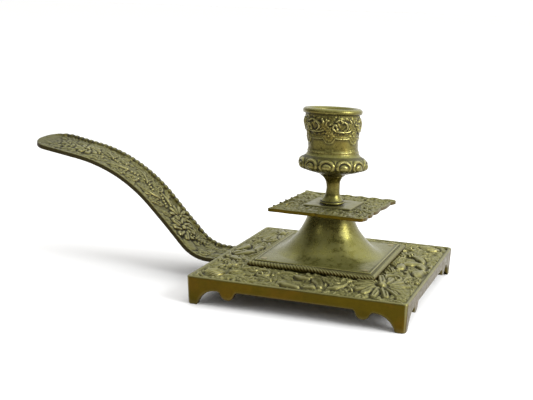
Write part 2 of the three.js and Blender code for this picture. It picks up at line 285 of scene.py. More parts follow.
    def sample(self, x, y, values=None):
        """The height, or another map, at places between the cells."""
        values = self.height if values is None else values
        i = np.clip((x - self.low[0]) / self.step, 0, self.x.shape[0] - 1.001)
        j = np.clip((y - self.low[1]) / self.step, 0, self.x.shape[1] - 1.001)
        a, b = i.astype(int), j.astype(int)
        u, v = i - a, j - b
        top = values[a, b] * (1 - u) + values[a + 1, b] * u
        return top * (1 - v) + (values[a, b + 1] * (1 - u) + values[a + 1, b + 1] * u) * v


# -------- meshes from rings of points
def add_object(name, data):
    item = bpy.data.objects.new(name, data)
    bpy.context.scene.collection.objects.link(item)
    return item


def ring_piece(name, rings, cavity, material, node, closed=True):
    """A mesh through rings of points (rings, points, 3) in millimetres, which stands for a CAD node.

    The rings follow each other round a closed section, or the first and the last one are filled when
    closed is False.  cavity holds a number for each point, from -1 on high spots to 1 in hollows.
    """
    rows, columns = rings.shape[:2]
    across = np.arange(columns)
    after = (across + 1) % columns
    faces = []
    for row in range(rows if closed else rows - 1):
        near, far = row * columns, (row + 1) % rows * columns
        faces.append(np.stack([near + across, near + after, far + after, far + across], -1))
    faces = np.concatenate(faces).tolist()
    if not closed:
        faces.append(list(range(columns))[::-1])
        faces.append(list(range((rows - 1) * columns, rows * columns)))
    mesh = bpy.data.meshes.new(name)
    mesh.from_pydata((rings.reshape(-1, 3) * MM).tolist(), [], faces)
    layer = mesh.attributes.new("cavity", "FLOAT", "POINT")
    layer.data.foreach_set("value", np.ravel(cavity))
    mesh.polygons.foreach_set("use_smooth", np.ones(len(mesh.polygons), bool))
    mesh.materials.append(material)
    piece = add_object(name, mesh)
    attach(piece, "root")
    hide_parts(node)
    return piece


def stack(rings, cavity, plan, z, hollow):
    """Adds a ring of plan points at a height, with how hollow it is there."""
    rings.append(np.column_stack([plan, np.broadcast_to(z, len(plan))]))
    cavity.append(np.broadcast_to(hollow, len(plan)))


def square_ring(half, count, radius=0.0, half_y=None):
    """Points round a square or rectangle, count on each side, from the front left corner, as [x, y].

    Its sides come in the order front, right, back, left.
    """
    half_y = half if half_y is None else half_y
    t = (np.arange(count) / count) * 2 - 1
    one = np.ones(count)
    x = np.concatenate([t, one, -t, -one]) * half
    y = np.concatenate([-one, t, one, -t]) * half_y
    if radius > 0:
        dx, dy = np.abs(x) - (half - radius), np.abs(y) - (half_y - radius)
        corner = (dx > 0) & (dy > 0)
        shrink = np.where(corner, radius / np.hypot(dx, dy).clip(1e-9), 1)
        x = np.where(corner, np.sign(x) * (half - radius + dx * shrink), x)
        y = np.where(corner, np.sign(y) * (half_y - radius + dy * shrink), y)
    return np.stack([x, y], -1)


def bezier(points, steps=10):
    """Points along one Bezier curve."""
    points = np.asarray(points, float)
    t = np.linspace(0, 1, steps)[:, None]
    order = len(points) - 1
    weights = [math.comb(order, k) * t ** k * (1 - t) ** (order - k) for k in range(order + 1)]
    return sum(weight * point for weight, point in zip(weights, points))


def smooth_profile(points, step):
    """A Catmull-Rom curve through points, resampled to an even step."""
    points = np.asarray(points, float)
    padded = np.vstack([2 * points[0] - points[1], points, 2 * points[-1] - points[-2]])
    stretch = []
    for a, b, c, d in zip(padded, padded[1:], padded[2:], padded[3:]):
        t = np.linspace(0, 1, 12, endpoint=False)[:, None]
        stretch.append(0.5 * (2 * b + (c - a) * t + (2 * a - 5 * b + 4 * c - d) * t ** 2
                              + (3 * b - 3 * c + d - a) * t ** 3))
    curve = np.vstack(stretch + [points[-1:]])
    length = np.concatenate([[0], np.cumsum(np.hypot(*np.diff(curve, axis=0).T))])
    at = np.linspace(0, length[-1], max(2, int(length[-1] / step)))
    return np.stack([np.interp(at, length, curve[:, 0]), np.interp(at, length, curve[:, 1])], -1)


# -------- materials
# grey dust on faces that look up, which also paints a pale sheen there
DUST_AND_SHEEN = (0.2, 0.195, 0.08)
RUST = (0.092, 0.055, 0.004)


def mix_colour(tree, factor, first, second):
    """Mixes two colours, each given as a tuple or as a socket."""
    node = tree.nodes.new("ShaderNodeMix")
    node.data_type = "RGBA"
    for socket, value in ((node.inputs[0], factor), (node.inputs[6], first), (node.inputs[7], second)):
        if isinstance(value, bpy.types.NodeSocket):
            tree.links.new(value, socket)
        elif isinstance(value, tuple):
            socket.default_value = (*value, 1)
        else:
            socket.default_value = value
    return node.outputs[2]


def map_range(tree, value, low, high, to_low=0.0, to_high=1.0):
    """Maps low..high to to_low..to_high, and clamps it there."""
    node = tree.nodes.new("ShaderNodeMapRange")
    tree.links.new(value, node.inputs["Value"])
    for name, number in (("From Min", low), ("From Max", high), ("To Min", to_low), ("To Max", to_high)):
        node.inputs[name].default_value = number
    return node.outputs[0]


def calculate(tree, operation, first, second):
    """One step of arithmetic on sockets or numbers."""
    node = tree.nodes.new("ShaderNodeMath")
    node.operation = operation
    for socket, value in zip(node.inputs, (first, second)):
        if isinstance(value, bpy.types.NodeSocket):
            tree.links.new(value, socket)
        else:
            socket.default_value = value
    return node.outputs[0]


def multiply(tree, first, second):
    return calculate(tree, "MULTIPLY", first, second)


def noise(tree, scale, detail, roughness=0.6):
    """Noise fixed to the piece, with scale in cycles per metre."""
    place = tree.nodes.new("ShaderNodeTexCoord")
    node = tree.nodes.new("ShaderNodeTexNoise")
    tree.links.new(place.outputs["Object"], node.inputs["Vector"])
    node.inputs["Scale"].default_value = scale
    node.inputs["Detail"].default_value = detail
    node.inputs["Roughness"].default_value = roughness
    return node.outputs["Fac"]


def aged_brass(name, bright, body, side, dirt, rust=RUST, gloss=0.36, metal=0.74, full_dirt=0.8):
    """Old brass: body colour broken by patina, dark dirt in hollows, pale worn crests that also carry a
    painted highlight, grey dust with a painted sheen on faces that look up, and on upright ones the darker
    side colour as painted shade, with rust stains.

    gloss is the roughness of clean metal, and full_dirt the cavity value at which dirt covers all.
    """
    material = bpy.data.materials.new(name)
    material.use_nodes = True
    tree = material.node_tree
    shader = tree.nodes["Principled BSDF"]
    cavity = tree.nodes.new("ShaderNodeAttribute")
    cavity.attribute_name = "cavity"
    hollow = cavity.outputs["Fac"]
    normal = tree.nodes.new("ShaderNodeNewGeometry")
    split = tree.nodes.new("ShaderNodeSeparateXYZ")
    tree.links.new(normal.outputs["Normal"], split.inputs[0])
    upward = map_range(tree, split.outputs["Z"], 0.1, 0.85)
    patches = map_range(tree, noise(tree, 70, 5), 0.38, 0.62)
    mottle = map_range(tree, noise(tree, 420, 4), 0.35, 0.65)
    specks = map_range(tree, noise(tree, 1500, 3), 0.56, 0.7)

    stained = map_range(tree, noise(tree, 48, 3), 0.5, 0.62)
    # painted shade: upright faces take the darker side colour, with real rust stains on it, and faces that
    # look up take the body colour
    upright = mix_colour(tree, stained, side, rust)
    colour = mix_colour(tree, upward, upright, body)
    darker = mix_colour(tree, 0.35, colour, dirt)
    colour = mix_colour(tree, multiply(tree, patches, 0.5), colour, darker)
    # real dust, and a painted pale sheen, on faces that look up
    dust_and_sheen_film = multiply(tree, multiply(tree, upward, 0.5), mottle)
    colour = mix_colour(tree, dust_and_sheen_film, colour, DUST_AND_SHEEN)
    # pale crests: real wear, and a painted highlight on the relief's raised spots
    crest = map_range(tree, hollow, -0.1, -0.9)
    colour = mix_colour(tree, multiply(tree, crest, 0.6), colour, bright)
    sunk = map_range(tree, hollow, 0.02, full_dirt)
    colour = mix_colour(tree, sunk, colour, dirt)
    colour = mix_colour(tree, multiply(tree, specks, 0.25), colour, dirt)
    tree.links.new(colour, shader.inputs["Base Color"])

    tarnish = multiply(tree, sunk, -0.55)
    plain = multiply(tree, dust_and_sheen_film, -0.35)
    base_metal = map_range(tree, upward, 0, 1, min(1, metal + 0.2), metal)
    metallic = calculate(tree, "ADD", calculate(tree, "ADD", tarnish, plain), base_metal)
    tree.links.new(metallic, shader.inputs["Metallic"])
    shader.inputs["Specular IOR Level"].default_value = 0.25
    rough = map_range(tree, mottle, 0, 1, gloss - 0.05, gloss + 0.1)
    rough = calculate(tree, "ADD", rough, multiply(tree, sunk, 0.3))
    rough = calculate(tree, "SUBTRACT", rough, multiply(tree, crest, 0.1))
    tree.links.new(rough, shader.inputs["Roughness"])
    bump = tree.nodes.new("ShaderNodeBump")
    bump.inputs["Strength"].default_value = 0.2
    bump.inputs["Distance"].default_value = 0.0002
    tree.links.new(noise(tree, 1100, 5, 0.7), bump.inputs["Height"])
    tree.links.new(bump.outputs["Normal"], shader.inputs["Normal"])
    return material


# side is the painted shade colour for upright faces; bright is the colour of worn crests, which also
# carries a painted highlight
CAST = aged_brass("cast_brass", bright=(0.33, 0.31, 0.15), body=(0.155, 0.148, 0.045),
                  side=(0.075, 0.052, 0.003), dirt=(0.018, 0.016, 0.005))
TURNED = aged_brass("turned_brass", bright=(0.38, 0.34, 0.14), body=(0.185, 0.178, 0.04),
                    side=(0.138, 0.118, 0.03), dirt=(0.018, 0.014, 0.003),
                    rust=(0.145, 0.112, 0.024), gloss=0.27, metal=0.7, full_dirt=0.5)
FASTENER = aged_brass("fastener_brass", bright=(0.5, 0.45, 0.25), body=(0.33, 0.28, 0.12),
                      side=(0.25, 0.2, 0.08), dirt=(0.05, 0.04, 0.015))


# -------- base
def apron_height(along, on_handle_side):
    """Lower edge of the skirt at a distance from the middle of its side."""
    slot_half = 13.3  # the handle comes in through a slot in its side
    slot_top = 11.6
    foot = bezier([(-45.6, 0), (-44.2, 4.4), (-40.8, 7.3), (-36, 7.4)])
    shoulder = bezier([(-36, 7.4), (-34.4, 7.3), (-34, 5.8)], 5)
    lobe = bezier([(-34, 5.8), (-33.3, 3.1), (-28.7, 3.1), (-28, 5.8)], 12)
    rise = bezier([(-28, 5.8), (-27.5, 7.8), (-26, 7.8)], 5)
    outline = np.vstack([[(-60, 0), (-45.7, 0)], foot, shoulder, lobe, rise])
    height = np.interp(-np.abs(along), outline[:, 0], outline[:, 1])
    slot = on_handle_side & (np.abs(along) < slot_half)
    return np.where(slot, slot_top, height)


def side_spot(side):
    """A function that turns (along a side from its middle, in from the lip) into a place."""
    turn = side * math.pi / 2
    cos, sin = math.cos(turn), math.sin(turn)

    def spot(along, inward):
        out = FIELD_OUT - inward
        return along * cos + out * sin, along * sin - out * cos

    return spot, turn


def base_foliage(relief, rng, side):
    """Curled leaves, scrolls and smooth lobes along one side."""
    spot, turn = side_spot(side)
    for along, inward, heading, length, width in (
            (-29, 13, 0.5, 9, 6), (-28, 5, -0.6, 9, 6), (-13, 5, 2.6, 9, 6), (-11, 14, 0.4, 8, 5.4),
            (14, 14, 2.5, 8, 5), (22, 3.6, 2.6, 8, 5), (-38, 15, 1.2, 7, 5), (40, 14.6, 1.9, 7, 5)):
        x, y = spot(along, inward)
        relief.leaf(x, y, turn + heading, length, width, 1.5, lobes=4, curl=rng.uniform(-1, 1))
    for along, inward, radius, start, hand in (
            (-33, 16.2, 2.9, 0.5, 1), (-19.3, 10.9, 4.4, 2.2, -1), (-24.5, 14.6, 2.6, 4, 1),
            (22, 12.5, 3.0, 1.2, 1), (-20.5, 3.6, 2.4, 3, -1)):
        x, y = spot(along, inward)
        relief.scroll(x, y, radius, turn + start, 1.15, radius * 0.4, 1.5, hand)
    for along, inward, heading, length, curl, width in (
            (-9, 3.8, 0.15, 9.5, -0.7, 5.4), (-4, 13.4, -0.5, 8, 0.9, 5.0), (3.5, 3.0, 0.35, 9, 0.7, 5.2),
            (4.5, 12.0, -0.6, 8.5, -0.7, 5.4), (13.5, 5.2, 0.3, 8.5, 0.9, 4.8)):
        x, y = spot(along, inward)
        relief.stroke(arc_path(x, y, turn + heading, length, curl), width, 1.7, 0.08, (0.45, 0.6), moat=0.6)


def base_relief():
    """Dense foliage, with rolled leaves in two corners and palmettes in the others."""
    relief = Relief(-50, 50, -50, 50, 0.2)
    rng = np.random.default_rng(7)
    for side in range(4):
        spot, turn = side_spot(side)
        corners = np.array([spot(-48, 0.3), spot(31, 17.7)])
        low, high = corners.min(0), corners.max(0)
        relief.foliage(rng, (low[0], high[0], low[1], high[1]), 4.3,
                       lambda x, y: turn + 0.9 + 0.9 * math.sin(0.3 * (x + y)), 7.4, 4.6, 1.15)
    for side in (1, 3, 0, 2):
        base_foliage(relief, rng, side)
    for side in (0, 2):
        spot, turn = side_spot(side)
        x, y = spot(-40.4, 7.4)
        relief.ball(x, y, 4.6, 1.15, turn + 0.9)
        x, y = spot(-34.5, 3.4)
        relief.leaf(x, y, turn + 0.4, 7, 4.6, 1.4, lobes=4, curl=-0.6)
        x, y = spot(34.4, 15.8)
        relief.fan(x, y, turn - 0.75, 12.6, 13, math.radians(290), 1.6)
        for n in range(5):
            x, y = spot(43.4, 1.0 + 3.3 * n)
            relief.leaf(x, y, turn + 0.3 * n - 0.5, 5.2, 3.6, 1.3, lobes=3, curl=0.6)
    relief.grain(3, 0.04)
    return relief.finish()


def make_base():
    count = 288  # points along a side
    relief = base_relief()
    side = np.repeat(np.arange(4), count)
    rings, cavity = [], []

    def add(half, z, radius, hollow):
        stack(rings, cavity, square_ring(half, count, radius), z, hollow)

    def lower_edge(half):
        plan = square_ring(half, count)
        along = np.where(side % 2 == 0, plan[:, 0], plan[:, 1])
        return apron_height(along, side == 3)

    outer = lower_edge(BASE_HALF)
    for t in (0.0, 0.04, 0.3, 0.6, 0.9, 1.0):
        z = outer + (SKIRT_TOP - outer) * t
        inset = DRAFT * (1 - z / SKIRT_TOP) + (0.15 if t == 0 else 0)
        plan = square_ring(BASE_HALF, count, CORNER_RADIUS) * (1 - inset / BASE_HALF)[:, None]
        worn = np.clip((np.abs(plan).min(1) - 48.6) / 0.6, 0, 1)  # the upright edges
        stack(rings, cavity, plan, z, (-0.25 if t < 0.1 else 0.0) - 0.7 * worn)
    for half, z, hollow in ((49.97, 12.7, -0.2), (49.75, 13.05, -0.4), (49.3, LIP_TOP, -0.15),
                            (48.85, 13.1, -0.1), (48.5, 12.8, 0.1), (48.25, 12.5, 0.3)):
        add(half, z, CORNER_RADIUS, hollow)
    for half in np.linspace(FIELD_OUT, FIELD_IN, 60):
        plan = square_ring(half, count)
        ground = np.interp(half, [FIELD_IN, FIELD_OUT], [GROUND_IN, GROUND_OUT])
        z = ground + BASE_BOLDNESS * relief.sample(*plan.T)
        stack(rings, cavity, plan, z, relief.sample(*plan.T, relief.depth))
    for half, z in ((30.2, SEAT_Z), (RECESS_HALF, SEAT_Z), (RECESS_HALF, 12.3), (27, 12.3), (35, UNDERSIDE),
                    (46.5, UNDERSIDE)):
        add(half, z, 0, 0.1)
    inner = lower_edge(BASE_HALF - SKIRT)
    for t in (0.0, 0.5, 1.0):
        z = np.maximum(UNDERSIDE, inner) + (inner - np.maximum(UNDERSIDE, inner)) * t
        add(BASE_HALF - SKIRT - DRAFT * t, z, 3.0, 0.1)
    rings = np.array(rings)
    near_corner = (BASE_HALF - rings[..., 0]) * (BASE_HALF - rings[..., 1]) / (2 * BASE_HALF) ** 2
    rings[..., 0] -= CORNER_DRIFT * near_corner ** 3
    return ring_piece("base", rings + BASE_CENTRE, cavity, CAST, "base_casting")


# -------- pedestal
def bell_plan(half, squareness, angle):
    """A ring of the bell, from a circle (0) to a square (1)."""
    corner = 1 / np.maximum(np.abs(np.cos(angle)), np.abs(np.sin(angle)))
    scale = half * (1 + squareness * (corner - 1))
    return np.stack([scale * np.cos(angle), scale * np.sin(angle)], -1)


def make_bell():
    angle = (np.arange(360) + 0.5) / 360 * TURN
    cap_underside = 36.5
    trumpet = smooth_profile([
        (24.9, 18.2), (23.4, 18.85), (21, 20.3), (18.2, 23.1), (14.6, 27.4), (12.4, 31.3), (10.4, 36),
        (9.6, 38.6)], 0.4)
    inside = smooth_profile([(8, cap_underside), (9.6, 32.5), (12, 27.6), (15.6, 23), (19, 18.5)], 2)
    # the square flange and the moulding inside the rope, as (half, z, hollow)
    foot = [(19, 14.8, 0), (29.3, 14.8, 0), (29.6, 15.6, 0), (29.4, 16.4, 0), (28.6, 16.9, 0),
            (27.9, 17.1, 0.3), (27.65, 17.5, 0.5), (27.4, 17.85, -0.3), (27.1, 17.9, -0.4),
            (26.85, 17.78, 0.1), (26.7, 17.7, 0.35)]
    rings, cavity = [], []

    def add(half, z, hollow, squareness=0.0):
        stack(rings, cavity, bell_plan(half, squareness, angle), z, hollow)

    for half, z, hollow in foot:
        add(half, z, hollow, 1)
    for t in np.linspace(0.1, 0.9, 9):  # the flat plate, which goes from square to round
        add(26.5 - 1.55 * t, 17.74 + 0.44 * t ** 1.6, 0.1 * (1 - t), (1 - t) ** 1.3)
    for half, z in trumpet:
        add(half, z, -0.12 if z > 30 else 0.0)
    for half, z in [(9.5, BELL_TOP - 0.1), (9.3, BELL_TOP), (TENON_HOLE, BELL_TOP),
                    (TENON_HOLE, cap_underside), *inside]:
        add(half, z, 0.15)
    rings = np.array(rings) + AXIS
    return ring_piece("bell", rings, cavity, TURNED, "pedestal_bell")


def make_rope():
    """A twisted rope laid round the pedestal's flange, mitred at its corners."""
    pitch, strands = 1.5, 4
    count = 340  # points along a side
    side = np.repeat(np.arange(4), count)
    length = (np.arange(4 * count) + 0.5) / count * 2 * ROPE_HALF
    worn = np.where(side == 1, 0.35, 1.0)  # the right side has lost most of its twist
    front = np.where(side == 0, length - ROPE_HALF, 1e3)  # far off on the other sides
    wander = 0.5 * np.exp(-((front + 2) / 9) ** 2) - 0.2 * np.exp(-((front - 22) / 5) ** 2)
    rings, cavity = [], []
    for around in np.arange(20) / 20 * TURN:
        phase = math.pi * (length / pitch + strands * around / TURN)
        swell = np.abs(np.cos(phase)) ** 0.6
        radius = ROPE_RADIUS * (1 - 0.34 * (1 - swell) * worn)
        plan = square_ring(ROPE_HALF, count) * (1 + radius * math.cos(around) / ROPE_HALF)[:, None]
        hollow = (0.6 - 1.2 * swell) * worn - 0.15 * (1 - worn)
        stack(rings, cavity, plan, ROPE_Z + wander + radius * math.sin(around), hollow)
    rings = np.array(rings)[::-1] + AXIS
    return ring_piece("rope_edge", rings, cavity[::-1], CAST, "pedestal_bell")


# -------- drip pan
def pan_relief():
    """Leaves, small scrolls and rosettes in a band round the pan, with pits between them."""
    relief = Relief(-25, 25, -25, 25, 0.16)
    rng = np.random.default_rng(21)
    relief.undergrowth(rng, (-24, 24, -24, 24), 2.2, lambda x, y: math.atan2(y, x) + 1.2, 3.4, 1.3, 0.6)
    for side in range(4):
        turn = side * math.pi / 2
        for k in range(-4, 5):
            along, out = k * 4.9 + rng.uniform(-0.5, 0.5), 17.4 + rng.uniform(-2, 2)
            x = along * math.cos(turn) + out * math.sin(turn)
            y = along * math.sin(turn) - out * math.cos(turn)
            heading = rng.uniform(0, TURN)
            length, width, curl = rng.uniform(4, 5.4), rng.uniform(2.6, 3.6), rng.uniform(-1, 1)
            relief.leaf(x, y, heading, length, width, 0.85, 3, curl)
            if k % 2 == 0:
                relief.scroll(x, y, 1.9, heading, 1.0, 0.85, 0.95, 1 if side % 2 else -1)
            else:
                relief.rosette(x, y, 1.6, 5, 0.85, heading)
            hole_x, hole_y = x + rng.uniform(-2, 2), y + rng.uniform(-2, 2)
            relief.pit(hole_x, hole_y, rng.uniform(0.5, 0.9), 0.7)
    relief.grain(5, 0.05)
    return relief.finish()


def make_pan():
    relief = pan_relief()
    count = 160  # points along a side
    low, high = PAN_LOW, PAN_HIGH
    middle = 11.4  # half of the raised square that the stem stands on
    border = high - 0.95  # the relief's ground
    side_x, side_y = 23.25, 22.5
    rng = np.random.default_rng(4)
    # scallops all round: worn away in front, and boldest on the left
    place = np.arange(4 * count) / count
    lobes = 5 * place + 0.4 * np.sin(5 * place + 1) + rng.uniform(0, 1)
    boldness = np.interp(place, [0.9, 1.1, 1.9, 2.1, 2.9, 3.1, 3.95, 4],
                         [0.12, 0.6, 0.6, 1.1, 1.1, 2.2, 2.2, 0.3])
    wave = boldness * (1 - np.abs(np.sin(math.pi * lobes)) ** 0.8)
    ruffle = 0.22 * boldness * np.cos(TURN * lobes + 0.8)
    notch = np.exp(-((np.arange(4 * count) - 0.5 * count) / 4) ** 2)
    rings, cavity = [], []

    def add(share, z, hollow, ragged=0.0):
        plan = square_ring(side_x * share, count, 1.4 if share > 0.9 else 0.3, side_y * share)
        plan = plan * (1 - ragged * (wave + notch) / side_x)[:, None]
        z = z + ragged * ruffle
        # the raised square is wider than deep, and lies towards the back
        near_middle = np.clip((0.85 - share) / 0.3, 0, 1)
        plan[:, 1] = plan[:, 1] * (1 - 0.17 * near_middle) + 1.7 * near_middle * min(1, share / 0.4)
        stack(rings, cavity, plan, z, hollow)

    hole = TENON_HOLE / side_x
    add(hole, low, 0.2)
    add(0.5, low, 0.2)
    add(0.985, low, 0.2, 1)
    for rise in (0.15, 0.3, 1.35, 1.55):
        add(1, low + rise, 0, 1)
    add(0.998, low + 1.66, -0.4, 1)
    add(0.99, low + 1.72, -0.5, 1)
    for share in np.linspace(0.975, middle / side_x + 0.02, 56):
        plan = square_ring(side_x * share, count, 0.3, side_y * share)
        edge = np.clip((share - 0.93) / 0.045, 0, 1)
        height = relief.sample(*plan.T) * (1 - 0.4 * edge)
        hollow = relief.sample(*plan.T, relief.depth)
        add(share, border + 0.45 * edge + height, hollow, np.clip(share * 3 - 2, 0, 1))
    # painted shade: the raised square's wall gets a high hollow value so it reads dark
    add(middle / side_x + 0.008, high - 0.6, 0.8)
    add(middle / side_x, high - 0.1, -0.2)
    add(middle / side_x - 0.015, high, -0.35)
    add(0.3, high, -0.35)
    add(hole, high, 0.3)
    rings = np.array(rings)
    rings[..., 0] += PAN_SKEW * (rings[..., 1] + side_y)
    # the back right corner is longer
    reach = np.clip(rings[..., 0] / side_x, 0, 1) * np.clip(rings[..., 1] / side_y, 0, 1)
    rings[..., 0] += 0.9 * reach ** 4
    cos, sin = math.cos(PAN_TURN), math.sin(PAN_TURN)
    x, y = rings[..., 0].copy(), rings[..., 1].copy()
    rings[..., 0], rings[..., 1] = x * cos - y * sin, x * sin + y * cos
    return ring_piece("pan", rings + AXIS, cavity, CAST, "drip_pan")


# -------- stem and cup
def turned_rings(profile, count):
    """Circles round the axis, one for each (radius, z) of the profile."""
    angle = np.arange(count) / count * TURN
    rings = [np.stack([r * np.cos(angle), r * np.sin(angle), np.full(count, z)], -1) for r, z in profile]
    return np.array(rings)


def bent(rings):
    """Stem and cup have been knocked a little out of line, to the right low down, to the left above."""
    shift = np.interp(rings[..., 2], [41, 49, 56, 62, 80, 87], [0.4, 0.8, 0.4, 0.1, -1.1, -1.5])
    moved = rings.copy()
    moved[..., 0] += shift
    return moved


def make_stem():
    foot = PAN_HIGH + 0.3
    low, high = [corner[2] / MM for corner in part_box("baluster_stem")]
    torus = smooth_profile([(5.2, foot), (5.7, foot + 0.3), (5.85, foot + 0.75), (5.5, foot + 1.25)], 0.2)
    body = smooth_profile([
        (5.3, 42.75), (4.6, 43.5), (3.7, 44.9), (3.3, 46.4), (3.15, 49.2), (3.45, 51.8), (4.3, 53.5),
        (5.1, 54.4), (5.7, 54.8)], 0.35)
    profile = [(0.4, low), (2.2, low), (2.5, low + 0.3), (2.5, foot), *torus, *body,
               (2.5, 54.85), (2.5, high), (0.4, high)]
    rings = turned_rings(profile, 96)
    groove = 42.65  # between torus and body
    cavity = np.zeros(rings.shape[:2])
    for row, (_, z) in enumerate(profile):
        cavity[row] = 0.5 if abs(z - groove) < 0.12 else 0.0
    rings = bent(rings) + AXIS
    return ring_piece("stem", rings, cavity, TURNED, "baluster_stem", closed=False)


def cartouche(relief, x):
    """An open basket of scrolls under the rim, with feathers standing in it."""
    bowl = [(-3.3, 78.2), (-3.8, 79.4), (-4.9, 79.0), (-4.8, 77.4), (-3.2, 76.4), (-0.8, 76.1), (2.4, 76.3),
            (4.4, 77.4), (5.1, 79.2), (5.3, 81.8)]
    feather = [(0.2, 80.9), (1.5, 80.0), (1.9, 78.5), (1.1, 77.2), (0.1, 76.7)]
    stalk = [(3.3, 82.0), (4.1, 80.2), (3.3, 78.4), (2.3, 77.1)]
    curl = [(-3.6, 80.9), (-2.2, 81.8), (-0.8, 81.4), (-0.6, 80.2)]
    for path, width in ((bowl, 1.15), (feather, 1.1), (stalk, 1.0), (curl, 0.9)):
        points = smooth_profile(path, 0.3) + [x, 0]
        relief.stroke(points, width * 1.1, 1.15, 0.15, (0.9, 0.7), moat=0.9)
    relief.dome(x - 3.1, 77.3, 0.8, 1.0)
    for k in range(9):
        at = x - 4.4 + k * 1.15
        relief.stroke([[at, 81.9], [at, 83.6]], 0.7, 0.4, 0, (0.8, 0.8), moat=0.4)


def shell_drop(relief, x):
    """A rosette with a scroll above it and a shell below it, which pushes the moulding down."""
    relief.scroll(x + 0.8, 79.4, 2.2, 2.0, 1.0, 0.95, 0.95, 1)
    relief.leaf(x - 1.2, 76.8, 2.0, 5.0, 2.8, 0.8, 3, 0.6)
    relief.rosette(x + 0.3, 75.9, 1.7, 6, 0.9, 0.3)
    relief.fan(x - 0.2, 74.2, -math.pi / 2, 3.0, 7, math.radians(170), 0.75)
    for side in (-1, 1):
        relief.scroll(x + side * 1.8, 66.7, 0.9, 1.57, 0.9, 0.5, 0.4, side)
    relief.fan(x, 66.0, math.pi / 2, 1.5, 5, math.radians(120), 0.35)


def cup_relief():
    """The cup's ornament unrolled: x runs round it at CUP_RADIUS, y is the height z."""
    relief = Relief(-6, CUP_AROUND + 6, 54, 88, 0.16)
    rng = np.random.default_rng(12)
    relief.undergrowth(rng, (-6, CUP_AROUND + 6, 74.6, 83.0), 1.9, lambda x, y: 1.5 + math.sin(x / 2),
                       2.6, 1.2, 0.42)
    width = CUP_AROUND / 6  # of one of the six panels
    degree = CUP_AROUND / 360
    # the moulding below the shells, which dips under each
    dip = [(-6.7, 72.8), (-4.2, 72.9), (-3, 73.2), (-2.2, 72.2), (-1.3, 71.0), (0, 70.6), (1.3, 71.0),
           (2.2, 72.2), (3, 73.2), (4.2, 72.9), (6.7, 72.8)]
    for k in range(-1, 7):  # one more at each end, past the seam
        shell = 38 * degree + k * width
        cartouche(relief, shell - width / 2 + 0.4)
        shell_drop(relief, shell)
        line = smooth_profile(dip, 0.3) + [shell, 0]
        relief.stroke(line, 0.85, 0.6, 0, (1, 1), moat=0.6)
        relief.stroke(line + [0, 0.95], 0.5, 0.3, 0, (1, 1), moat=0.3)
        panel = np.array([[shell + 2.6, 66.4], [shell + width - 2.6, 66.4]])
        relief.stroke(np.linspace(panel[0], panel[1], 40), 0.6, 0.4, 0, (1, 1), moat=0.5)
    relief.beads(np.array([[-6, 83.95], [CUP_AROUND + 6, 83.95]]), 0.75, 0.33, 0.3)
    return relief


def egg_band(relief):
    """Twelve eggs under arched husks, with a dart between each two."""
    pitch = CUP_AROUND / 12
    for k in range(-1, 13):  # one more at each end, past the seam
        x = (k + 0.19) * pitch
        arch = np.linspace(math.radians(-40), math.radians(220), 30)
        path = np.stack([x + 2.55 * np.cos(arch), 59.9 + 2.8 * np.sin(arch)], -1)
        relief.stroke(path, 1.5, 0.85, 0, (0.8, 0.8), moat=0.1)
        relief.dome(x, 59.5, 2.0, 1.25, 1.0, math.pi / 2, moat=0)
        dart = np.array([[x + pitch / 2, 63.0], [x + pitch / 2, 57.4]])
        relief.stroke(np.linspace(dart[0], dart[1], 12), 0.5, 0.55, 0, (0.9, 0.6), moat=0.7)
    return relief


def make_cup():
    relief = egg_band(cup_relief())
    relief.grain(9, 0.02)
    relief.finish()
    low, high = CUP_LOW, CUP_HIGH
    # the flare and the band of eggs, the neck and the barrel, the rolled rim
    outer = smooth_profile([
        (5.65, low), (6.5, 55.25), (8.6, 55.95), (12.2, 56.9), (14.7, 58.0), (15.45, 59.6), (15.35, 61.4),
        (14.6, 62.9), (13.7, 63.6), (12.9, 64.2), (12.2, 65.1), (11.8, 66.2), (11.6, 67.8), (11.65, 70),
        (11.9, 73.8), (12.4, 77.8), (12.7, 80.4), (12.5, 82.6), (12.35, 83.8), (12.9, 84.0), (13.6, 84.5),
        (13.85, 85.2), (13.6, 86.0), (12.9, high - 0.15), (12.1, high), (11.3, high - 0.25),
        (10.7, high - 0.9), (10.4, high - 1.6), (10.35, high - 2.4)], 0.2)
    bore = [(10.35, high - 4), (10.3, 74), (10.0, 63.2), (9.8, 62.7), (9.2, 62.5), (2, 62.5), (0.3, 62.5)]
    profile = np.array([(0.3, 60), (2.8, 60), (2.8, low), *outer, *bore])
    count = 384
    rings = turned_rings(profile, count)
    place = np.arange(count) / count * CUP_AROUND
    cavity = np.zeros(rings.shape[:2])
    for row, (radius, z) in enumerate(profile):
        if row > len(outer) + 2:
            cavity[row] = 0.75
        elif z > 84.6:
            cavity[row] = 0.6 if z < high - 2.2 and radius < 11 else -0.15
        if not 3 <= row < len(outer) or z > 84.6:
            continue
        level = np.full(count, z)
        cavity[row] = relief.sample(place, level, relief.depth)
        if 63.2 < z < 64.2 or 83.6 < z < 84.3:
            cavity[row] = np.maximum(cavity[row], 0.35)
        rings[row, :, :2] *= (1 + relief.sample(place, level) * 0.85 / radius)[:, None]
    # lean it back, with its height scaled to stay within the CAD's
    cos, sin = math.cos(CUP_TILT), math.sin(CUP_TILT)
    rise = rings[..., 2] - low
    top = (high - low) * cos + 12.1 * sin  # the rim's front edge, 12.1 from the axis
    rings[..., 2] = low + (rise * cos - rings[..., 1] * sin) * (high - low) / top
    rings[..., 1] += rise * sin
    rings[..., 2] = np.minimum(rings[..., 2], high - 0.02)
    rings = bent(rings) + AXIS
    return ring_piece("cup", rings, cavity, TURNED, "candle_cup", closed=False)


